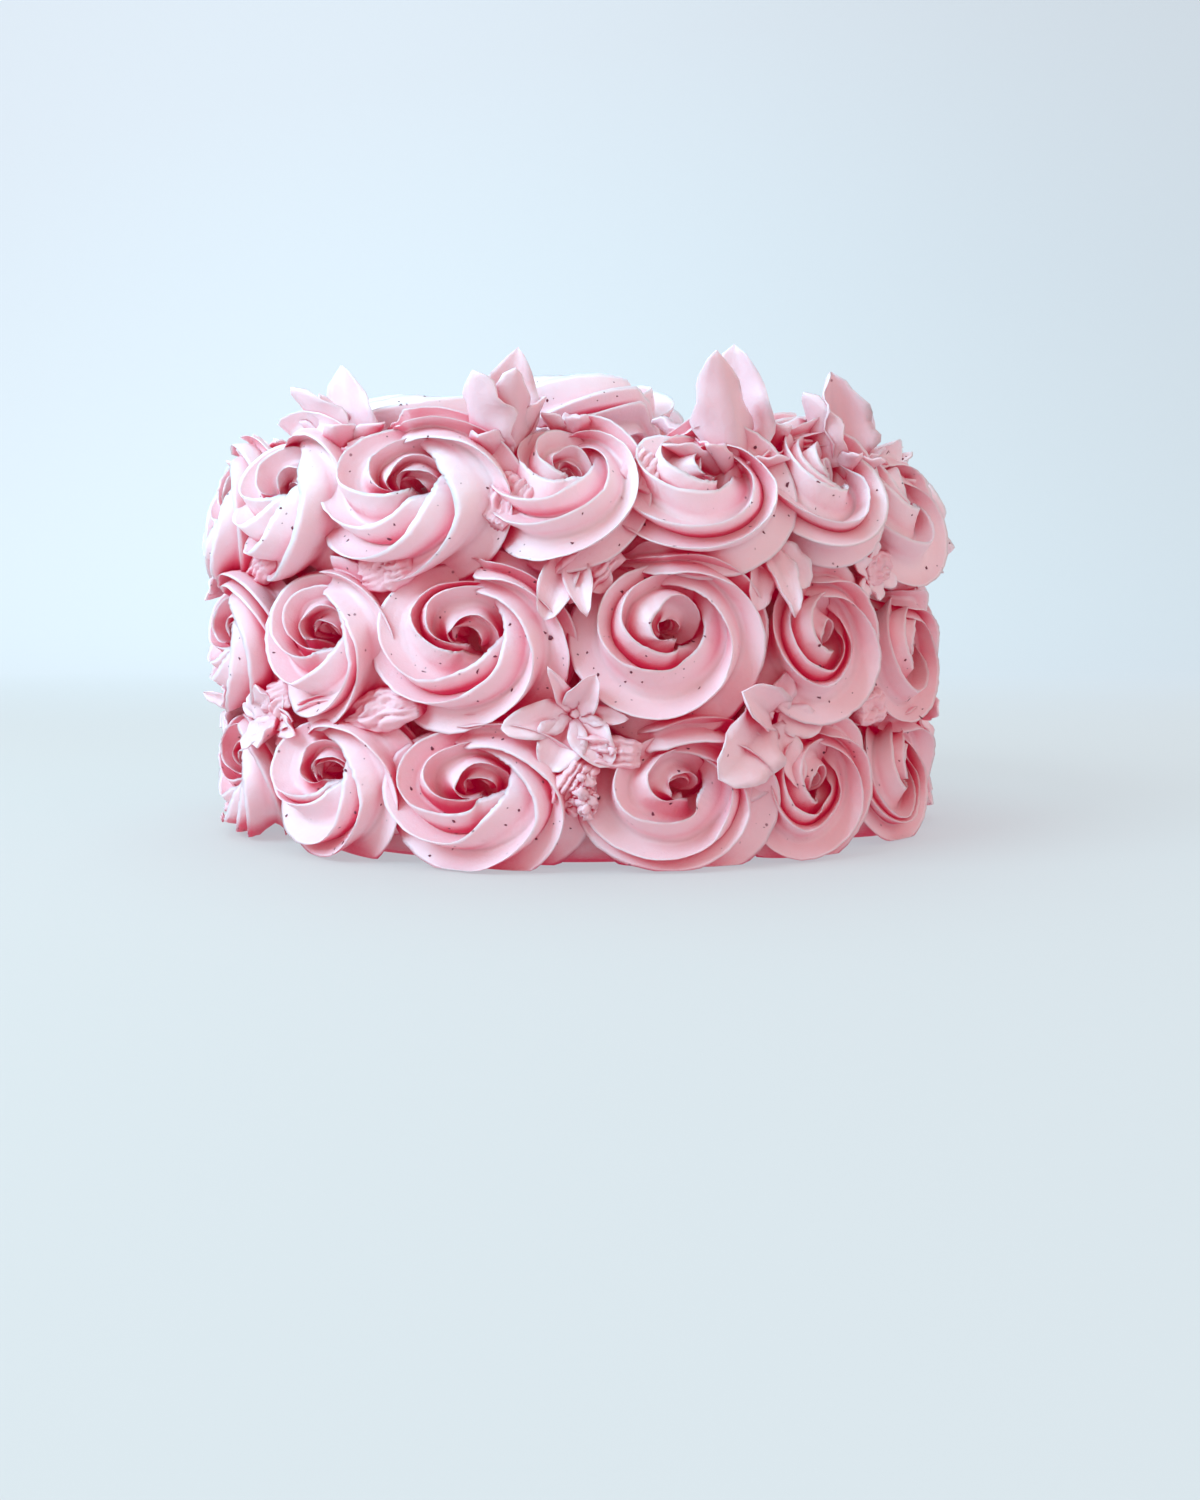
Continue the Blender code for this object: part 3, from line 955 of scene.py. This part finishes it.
class CAKE_OT_drop_front_flowers(bpy.types.Operator):
    """Drop the flowers at the front, one for each of the cake's own"""

    bl_idname = "cake.drop_front_flowers"
    bl_label = "Drop front flowers"

    def execute(self, context):
        icing = context.scene.cake_icing
        for i, (node, petals) in enumerate(FLOWERS.items()):
            cell = side_cell(node)
            aside, rise, forward, size = FLOWER_HAND[node]
            petals = grown(petals, size)
            if "side" in node:
                skin = piped_icing(icing)
                wrap = BODY_RADIUS + 0.010
                place = side_place(cell.turn + aside / 1000 / wrap, cell.height + rise / 1000, 0.0, wrap)
                parts = flower_parts(petals, place, 40 + i, 0.0105)
            else:
                skin = rim_petal_icing(icing)
                place = self.rim_place(node, aside / 1000, rise / 1000, forward / 1000)
                parts = flower_parts(petals, place, 40 + i, 0.0045, depth=7.0, girth=3.6)
            piece = add_mesh("drop_" + node, parts, skin)
            settle(piece, "piped_icing", node)
        return {"FINISHED"}

    def rim_place(self, node, aside, rise, forward):
        low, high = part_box(node)
        middle = (low + high) / 2
        turn = math.atan2(middle.y, middle.x) - FRONT
        across = Vector((-math.sin(FRONT + turn), math.cos(FRONT + turn)))
        spot = middle.xy + across * aside + middle.xy.normalized() * forward
        return top_place(spot.x, spot.y, low.z + 0.004 + rise, turn, math.radians(6))


class CAKE_OT_drop_more_flowers(bpy.types.Operator):
    """Drop the smaller flowers all round the joints and the rim"""

    bl_idname = "cake.drop_more_flowers"
    bl_label = "Drop more flowers"

    def execute(self, context):
        icing = context.scene.cake_icing
        rng = np.random.default_rng(31)
        side, rim = [], []
        for turn, height, size, lift in self.side_spots(rng):
            wrap = BODY_RADIUS + 0.010
            place = side_place(turn, height, 0.0, wrap)
            seed = int(rng.integers(1 << 30))
            side += flower_parts(
                drop_petals(rng, size, lift), place, seed, 0.0105, offset=sum(len(p[0]) for p in side)
            )
        rim_flowers = [
            (math.degrees(turn), radius, BODY_HEIGHT + 0.0055, drop_petals(rng, size, lift))
            for turn, radius, size, lift in self.rim_spots(rng)
        ]
        rim_flowers += self.top_stars(rng)
        for turn, radius, height, petals in (*RIM_FLOWERS, *rim_flowers):
            turn = math.radians(turn)
            spot = (radius * math.cos(FRONT + turn), radius * math.sin(FRONT + turn))
            place = top_place(*spot, height, turn, math.radians(8))
            seed = int(rng.integers(1 << 30))
            rim += flower_parts(petals, place, seed, 0.0, depth=12.0, offset=sum(len(p[0]) for p in rim))
        settle(add_mesh("drop_flowers_side", side, piped_icing(icing)), "piped_icing")
        settle(add_mesh("drop_flowers_rim", rim, rim_petal_icing(icing)), "piped_icing")
        return {"FINISHED"}

    def side_spots(self, rng):
        """Angle, height, petal length and lift of each flower in the joints between the bands."""
        spots = []
        for upper, height in (("rosette_middle", 0.0308), ("rosette_high", 0.0625)):
            cells = [side_cell(node) for node in NODES if node.startswith(upper)]
            turns = sorted(math.degrees(c.turn) % 360 for c in cells)
            for first, second in zip(turns, turns[1:] + [turns[0] + 360]):
                joint = (first + second) / 2
                facing = (joint + 180) % 360 - 180
                if -48 < facing < 52 or rng.random() < 0.25:
                    continue
                spots.append(
                    (math.radians(joint), height + rng.normal(0, 0.0008), rng.uniform(7.5, 10.5), rng.uniform(25, 45))
                )
        spots.append((math.radians(48), 0.0635, 7.5, 35.0))
        spots.append((math.radians(-50), 0.0315, 8.5, 30.0))
        return spots

    def top_stars(self, rng):
        """Small low stars that fill the top between the crown and the shoulder."""
        stars = []
        for i in range(TOP_STARS):
            turn = 360 * (i + rng.uniform(-0.2, 0.2)) / TOP_STARS
            radius = 0.0755 + rng.normal(0, 0.0012)
            stars.append((turn, radius, BODY_HEIGHT + 0.0005, drop_petals(rng, rng.uniform(10.5, 12.5), 32, 6)))
        return stars

    def rim_spots(self, rng):
        """Angle, distance from the axis, petal length and lift of each flower along the rim."""
        cells = [side_cell(node) for node in NODES if node.startswith("rosette_high")]
        turns = sorted(math.degrees(c.turn) % 360 for c in cells)
        spots = []
        for first, second in zip(turns, turns[1:] + [turns[0] + 360]):
            joint = (first + second) / 2
            facing = (joint + 180) % 360 - 180
            if -80 < facing < 74 or rng.random() < 0.15:
                continue
            spots.append((math.radians(joint), 0.072 + rng.normal(0, 0.002), rng.uniform(10, 13.5), rng.uniform(45, 70)))
        return spots


# ---------------------------------------------------------------- specks and crumbs


def pebble(rng, rings=4, columns=7, rough=0.25):
    """A small uneven ball of about radius 1, as a closed tube of rings."""
    rise = np.linspace(-0.95, 0.95, rings)[:, None] * (0.6 if rings < 3 else 1.0)
    angle = np.linspace(0, 2 * math.pi, columns, endpoint=False)[None]
    swell = 1 + rng.normal(0, rough, (rings, columns))
    for waves in (2, 3, 5):
        swell = swell + 0.5 / waves * np.sin(waves * angle + 4 * rise + rng.uniform(0, 6.28))
    swell = np.maximum(swell, 0.3)
    radius = np.sqrt(1 - rise**2) * swell
    return np.stack([radius * np.cos(angle), radius * np.sin(angle), rise * np.sqrt(swell)], -1)


def surface_spots(pieces, rng, count):
    """Points and normals spread evenly by area over the outer faces of the pieces."""
    middles, normals, areas = [], [], []
    for piece in pieces:
        mesh = piece.data
        size = len(mesh.polygons)
        columns = [np.empty(size * width, np.float32) for width in (3, 3, 1)]
        mesh.polygons.foreach_get("center", columns[0])
        mesh.polygons.foreach_get("normal", columns[1])
        mesh.polygons.foreach_get("area", columns[2])
        middles.append(columns[0].reshape(-1, 3))
        normals.append(columns[1].reshape(-1, 3))
        areas.append(columns[2])
    middles, normals, areas = np.concatenate(middles), np.concatenate(normals), np.concatenate(areas)
    outwards = middles - np.array([0, 0, BODY_HEIGHT / 2])
    outwards = outwards / np.linalg.norm(outwards, axis=1)[:, None]
    shown = (np.einsum("ij,ij->i", outwards, normals) > 0.35) * (
        np.maximum(np.hypot(middles[:, 0], middles[:, 1]) - BODY_RADIUS, middles[:, 2] - BODY_HEIGHT) > 0.006
    )
    share = areas * shown
    chosen = rng.choice(len(share), count, p=share / share.sum())
    return middles[chosen], normals[chosen]


def facing(normal, spin):
    """Two directions along a surface and its normal, as rows."""
    across = np.cross(normal, (0.3, 0.2, 1.0))
    across /= np.linalg.norm(across)
    along = np.cross(normal, across)
    return np.stack([
        across * math.cos(spin) + along * math.sin(spin),
        along * math.cos(spin) - across * math.sin(spin),
        normal,
    ])


class CAKE_OT_scatter_specks(bpy.types.Operator):
    """Scatter ground berry specks over the icing"""

    bl_idname = "cake.scatter_specks"
    bl_label = "Scatter specks"

    def execute(self, context):
        icing = context.scene.cake_icing
        rng = np.random.default_rng(77)
        pieces = [piece for piece in bpy.data.objects if piece.name.startswith(("piped_", "drop_"))]
        parts, offset = [], 0
        for spot, normal in zip(*surface_spots(sorted(pieces, key=lambda piece: piece.name), rng, icing.specks)):
            size = min(0.00048, 0.00018 * math.exp(rng.normal(0, 0.45)))
            shape = pebble(rng, 2, 5) * np.array([size * rng.uniform(0.8, 1.7), size, size * 0.45])
            points = spot + shape @ facing(normal, rng.uniform(0, 6.28))
            parts.append(tube(points, np.ones(points.shape[:2]), offset))
            offset += len(parts[-1][0])
        settle(add_mesh("berry_specks", parts, berry_skin(icing)), "piped_icing")
        return {"FINISHED"}


# Torn ends of icing that the nozzle dragged along: degrees from the front and height of the middle,
# length, width and thickness in millimetres, how far out from the coat the back is, and how far the
# drag points down from the left, in degrees.
SMEARS = (
    (-25, 64, 13, 10, 2.8, 13.5, 25), (-26, 34, 17, 9, 2.8, 13.0, 20), (2, 64, 15, 10, 3.0, 12.5, 55),
    (5, 26, 13, 7, 2.4, 13.5, 10), (0.5, 20, 11, 8, 3.0, 13.5, 75), (24, 63, 14, 8, 2.6, 12.0, -20),
    (49, 33, 11, 8, 2.4, 12.5, 30), (-49, 34, 12, 9, 2.4, 12.5, 30), (-52, 66, 13, 10, 2.6, 12.5, 25),
    (10, 84, 9, 9, 2.6, 10.0, 70), (-8, 78, 12, 10, 3.0, 12.5, 70), (-33, 88, 14, 10, 2.6, 9.0, 20),
    (50, 65, 11, 8, 2.4, 12.5, 30), (-77, 7, 14, 11, 3.0, 13.0, 70), (80, 34, 12, 9, 2.4, 12.5, 25),
    (105, 65, 12, 9, 2.4, 12.5, 30), (128, 33, 12, 8, 2.4, 12.5, 20), (150, 64, 12, 9, 2.4, 12.5, 35),
    (175, 34, 13, 9, 2.4, 12.5, 25), (-155, 65, 12, 9, 2.4, 12.5, 25), (-130, 34, 12, 9, 2.4, 12.5, 30),
    (-105, 64, 12, 9, 2.4, 12.5, 25), (-88, 33, 12, 9, 2.4, 12.5, 25),
)

# Where crumbs lie: degrees from the front, height, half the width and height of the patch in
# millimetres, how far out from the coat, how many, and how large.
CRUMBS = (
    (-77, 4, 5.0, 3.0, 14, 40, 1.2), (-70, 8, 2.0, 5.0, 15, 14, 1.0), (1.5, 17, 2.0, 4.0, 15.5, 26, 0.9),
    (5, 26, 3.0, 1.4, 15, 10, 0.7), (128, 5, 4.0, 4.0, 13.5, 20, 1.1), (-140, 7, 4.0, 5.0, 13.5, 22, 1.1),
)


def smear(rng, length, width, proud):
    """A ragged smear of icing with torn ridges along it, lying flat, in millimetres."""
    rows, columns = 24, 26
    u = np.linspace(0, 1, rows)[:, None]
    v = np.linspace(-1, 1, columns)[None]
    ridges = max(3, round(width / 2.0))
    warp = (v + 1) / 2 + 0.10 * wander(rng, (v + 1) / 2, 2, 1.0) * (1 - v**2) + wander(rng, u, 3, 0.05)
    which = np.clip((warp * ridges).astype(int), 0, ridges - 1)
    torn = smoothstep(rng.uniform(0.45, 1.0, ridges)[which] - u, 0.0, 0.14)
    groove = np.abs(np.sin(warp * ridges * math.pi)) ** 0.8 * rng.uniform(0.5, 1.0, ridges)[which]
    body = smoothstep(u, 0.0, 0.2) * (0.3 + 0.7 * torn) * (1 - v**4) ** 0.7
    rough = rng.normal(0, 0.13, (rows, columns)) + rng.normal(0, 0.18, (rows, 1)) * torn
    top = proud * body * (0.45 + 0.55 * groove) * (1 + wander(rng, u, 4, 0.10)) + rough * (1 - v**2)
    half = width / 2 * (0.7 + 0.3 * np.sin(math.pi * u)) * (1 + wander(rng, u, 6, 0.09))
    along = (u - 0.5) * length + 0.10 * length * wander(rng, (v + 1) / 2, 6, 0.6) * (u - 0.2)
    upper = np.stack([along * np.ones_like(v), half * v, top], -1)
    lower = np.stack([along * np.ones_like(v), half * v * 0.7, np.full_like(top, -3.0)], -1)
    return np.concatenate([upper, lower[:, ::-1]], axis=1)


class CAKE_OT_tear_icing(bpy.types.Operator):
    """Leave torn ends and crumbs of icing where the nozzle broke off"""

    bl_idname = "cake.tear_icing"
    bl_label = "Tear icing"

    def execute(self, context):
        icing = context.scene.cake_icing
        rng = np.random.default_rng(12)
        parts, offset = [], 0
        for shape, angle, out, rise, lay, slope in (*self.smears(rng), *self.crumbs(rng)):
            normal = np.array([math.cos(angle), math.sin(angle), slope])
            normal /= np.linalg.norm(normal)
            radius = BODY_RADIUS + out / 1000
            spot = np.array([radius * math.cos(angle), radius * math.sin(angle), rise / 1000])
            points = spot + shape / 1000 @ facing(normal, lay)
            points[..., 2] = np.maximum(points[..., 2], FLOOR)
            parts.append(tube(points, np.full(points.shape[:2], 0.4), offset))
            offset += len(parts[-1][0])
        settle(add_mesh("torn_icing", parts, torn_icing(icing)), "piped_icing")
        return {"FINISHED"}

    def smears(self, rng):
        """Shape, angle, distance out, height, lay and slope of each smear."""
        for turn, height, length, width, proud, out, lay in SMEARS:
            slope = 0.45 if height > 75 else 0.0
            yield smear(rng, length, width, proud), FRONT + math.radians(turn), out, height, math.radians(lay), slope

    def crumbs(self, rng):
        """The same of each crumb."""
        for turn, height, wide, tall, out, count, size in CRUMBS:
            for _ in range(count):
                bulk = size * math.exp(rng.normal(0, 0.35))
                aside, rise = np.clip(rng.normal(0, 0.6, 2), -1, 1) * (wide, tall)
                angle = FRONT + math.radians(turn) + aside / 1000 / BODY_RADIUS
                shape = pebble(rng, 6, 9, 0.15) * bulk * np.array([1.2, 0.9, 0.7])
                depth = out - 0.4 * abs(aside) + rng.normal(0, 0.6)
                yield shape, angle, depth, max(bulk * 0.7, height + rise), rng.uniform(0, 6.28), rng.normal(0, 0.4)


# ---------------------------------------------------------------- coat


class CAKE_OT_spread_coat(bpy.types.Operator):
    """Spread the coat of icing that the rosettes stand on"""

    bl_idname = "cake.spread_coat"
    bl_label = "Spread coat"

    def execute(self, context):
        icing = context.scene.cake_icing
        columns = 180
        straight = BODY_HEIGHT - SHOULDER
        profile = [(BODY_RADIUS * share, 0.0) for share in (0.02, 0.3, 0.6, 0.9, 0.985)]
        profile += [(BODY_RADIUS, 0.001 + straight * i / 40) for i in range(41)]
        for i in range(1, 13):
            lean = math.pi / 2 * i / 12
            profile.append(
                (BODY_RADIUS - SHOULDER * (1 - math.cos(lean)), straight + SHOULDER * math.sin(lean))
            )
        inner = BODY_RADIUS - SHOULDER
        profile += [(inner * (1 - i / 24), BODY_HEIGHT) for i in range(1, 24)]
        profile = np.array(profile)
        angle = np.linspace(0, 2 * math.pi, columns, endpoint=False)
        rng = np.random.default_rng(5)
        bumps = np.zeros((len(profile), columns))
        rows = np.arange(len(profile))[:, None]
        for _ in range(26):
            bumps += rng.normal(0, 0.00022) * np.sin(
                angle[None] * rng.integers(3, 40) + rows * rng.normal(0, 0.5) + rng.uniform(0, 6.28)
            )
        solid = smoothstep(profile[:, 1], 0.001, 0.006)[:, None]
        radius = profile[:, :1] + (0.0004 + bumps) * solid
        height = profile[:, 1:] + bumps * smoothstep(profile[:, 1], straight, BODY_HEIGHT)[:, None]
        points = np.stack([radius * np.cos(angle), radius * np.sin(angle), np.broadcast_to(height, radius.shape)], -1)
        crest = np.full(points.shape[:2], 0.35)
        piece = add_mesh("spread_coat", [tube(points, crest)], coat_icing(icing))
        settle(piece, "body_icing", "cake_body")
        return {"FINISHED"}


# ---------------------------------------------------------------- stage


class CAKE_OT_set_stage(bpy.types.Operator):
    """Set the floor, the sweep, the lights and the camera"""

    bl_idname = "cake.set_stage"
    bl_label = "Set stage"

    def execute(self, context):
        stage = context.scene.cake_stage
        self.sweep(stage)
        self.lights(context, stage)
        self.camera(context, stage)
        return {"FINISHED"}

    def sweep(self, stage):
        """A floor of paper that curves up into a backdrop. Its light is painted on as a glow, dimmer at the right."""
        half, back, bend, top = 3.0, 1.4, 0.5, 2.6
        profile = [(-3.0, 0.0), (0.0, 0.0), (back - bend, 0.0)]
        profile += [
            (back - bend + bend * math.sin(a), bend - bend * math.cos(a))
            for a in (math.pi / 2 * i / 16 for i in range(1, 17))
        ]
        profile.append((back, top))
        vertices = [(x, y, z) for y, z in profile for x in (-half, half)]
        faces = [(2 * i, 2 * i + 1, 2 * i + 3, 2 * i + 2) for i in range(len(profile) - 1)]
        mesh = bpy.data.meshes.new("sweep")
        mesh.from_pydata(vertices, [], faces)
        mesh.shade_smooth()
        shader = Shader("sweep_paper")
        place = shader.node("ShaderNodeTexCoord", output=3)
        side = shader.node("ShaderNodeSeparateXYZ", None, {"Vector": place}, output=0)
        depth = shader.node("ShaderNodeSeparateXYZ", None, {"Vector": place}, output=1)
        drift = (shader.noise(1.2, 2.0) - 0.5) * 0.1
        far = (depth + drift).step(0.15, 1.3)
        lit = shader.mix(far, tuple(stage.floor), tuple(stage.backdrop))
        # Painted shade: the backdrop's glow is dimmer at the right.
        lit = shader.mix((side + drift).step(-0.5, 0.9) * far, lit, tuple(0.72 * c for c in stage.backdrop))
        shader.feed(shader.surface.inputs["Emission Color"], lit)
        shader.surface.inputs["Emission Strength"].default_value = 1.0
        tint = shader.mix(far, tuple(stage.paper), (0.4, 0.4, 0.42))
        shader.feed(shader.surface.inputs["Base Color"], tint)
        shader.surface.inputs["Roughness"].default_value = 0.8
        shader.surface.inputs["Specular IOR Level"].default_value = 0.1
        mesh.materials.append(shader.material)
        sweep = bpy.data.objects.new("sweep", mesh)
        bpy.context.scene.collection.objects.link(sweep)

    def lights(self, context, stage):
        world = bpy.data.worlds.new("studio")
        world.use_nodes = True
        background = world.node_tree.nodes["Background"]
        background.inputs["Color"].default_value = (0.94, 0.92, 0.85, 1.0)
        background.inputs["Strength"].default_value = stage.sky
        context.scene.world = world
        middle = Vector((0, 0, BODY_HEIGHT / 2))
        for name, spot, size, power, colour in (
            ("key", (-0.66, -0.48, 0.60), 0.6, stage.key, (0.34, 0.80, 0.93)),
            ("fill", (0.8, -0.6, 0.4), 0.8, stage.fill, (0.95, 0.97, 1.0)),
            ("sky", (-0.15, 0.20, 1.0), 0.9, stage.top, (0.20, 0.88, 1.0)),
        ):
            data = bpy.data.lights.new(name, "AREA")
            data.shape = "DISK"
            data.size = size
            data.energy = power
            data.color = colour
            lamp = bpy.data.objects.new(name, data)
            lamp.location = spot
            lamp.rotation_euler = (middle - Vector(spot)).to_track_quat("-Z", "Y").to_euler()
            context.scene.collection.objects.link(lamp)

    def camera(self, context, stage):
        data = bpy.data.cameras.new("camera")
        data.sensor_width = 36.0
        data.lens = stage.lens
        data.clip_start = 0.01
        camera = bpy.data.objects.new("camera", data)
        camera.location = (stage.camera_aside, -stage.distance, stage.camera_height)
        camera.rotation_euler = (math.pi / 2 - stage.pitch, 0.0, 0.0)
        context.scene.collection.objects.link(camera)
        context.scene.camera = camera
        context.scene.view_settings.view_transform = "Standard"


class CAKE_PT_panel(bpy.types.Panel):
    """Lists the cake's settings and steps."""

    bl_idname = "CAKE_PT_panel"
    bl_label = "Piped layer cake"
    bl_space_type = "VIEW_3D"
    bl_region_type = "UI"
    bl_category = "Cake"

    def draw(self, context):
        for group in (context.scene.cake_piping, context.scene.cake_icing, context.scene.cake_stage):
            box = self.layout.box()
            for key in group.__annotations__:
                box.prop(group, key)
        for step in STEPS:
            self.layout.operator(step.bl_idname)


GROUPS = {
    "cake_piping": CakePipingSettings,
    "cake_icing": CakeIcingSettings,
    "cake_stage": CakeStageSettings,
}
STEPS = (
    CAKE_OT_spread_coat,
    CAKE_OT_pipe_low_band,
    CAKE_OT_pipe_middle_band,
    CAKE_OT_pipe_high_band,
    CAKE_OT_pipe_crown,
    CAKE_OT_drop_front_flowers,
    CAKE_OT_drop_more_flowers,
    CAKE_OT_tear_icing,
    CAKE_OT_scatter_specks,
    CAKE_OT_set_stage,
)


def register():
    for group in GROUPS.values():
        bpy.utils.register_class(group)
    for name, group in GROUPS.items():
        setattr(bpy.types.Scene, name, bpy.props.PointerProperty(type=group))
    for step in (*STEPS, CAKE_PT_panel):
        bpy.utils.register_class(step)


def unregister():
    for step in (*STEPS, CAKE_PT_panel):
        bpy.utils.unregister_class(step)
    for name, group in GROUPS.items():
        delattr(bpy.types.Scene, name)
        bpy.utils.unregister_class(group)


def main():
    register()
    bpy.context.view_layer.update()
    for step in STEPS:
        area, name = step.bl_idname.split(".")
        getattr(getattr(bpy.ops, area), name)()


if __name__ == "__main__":
    main()
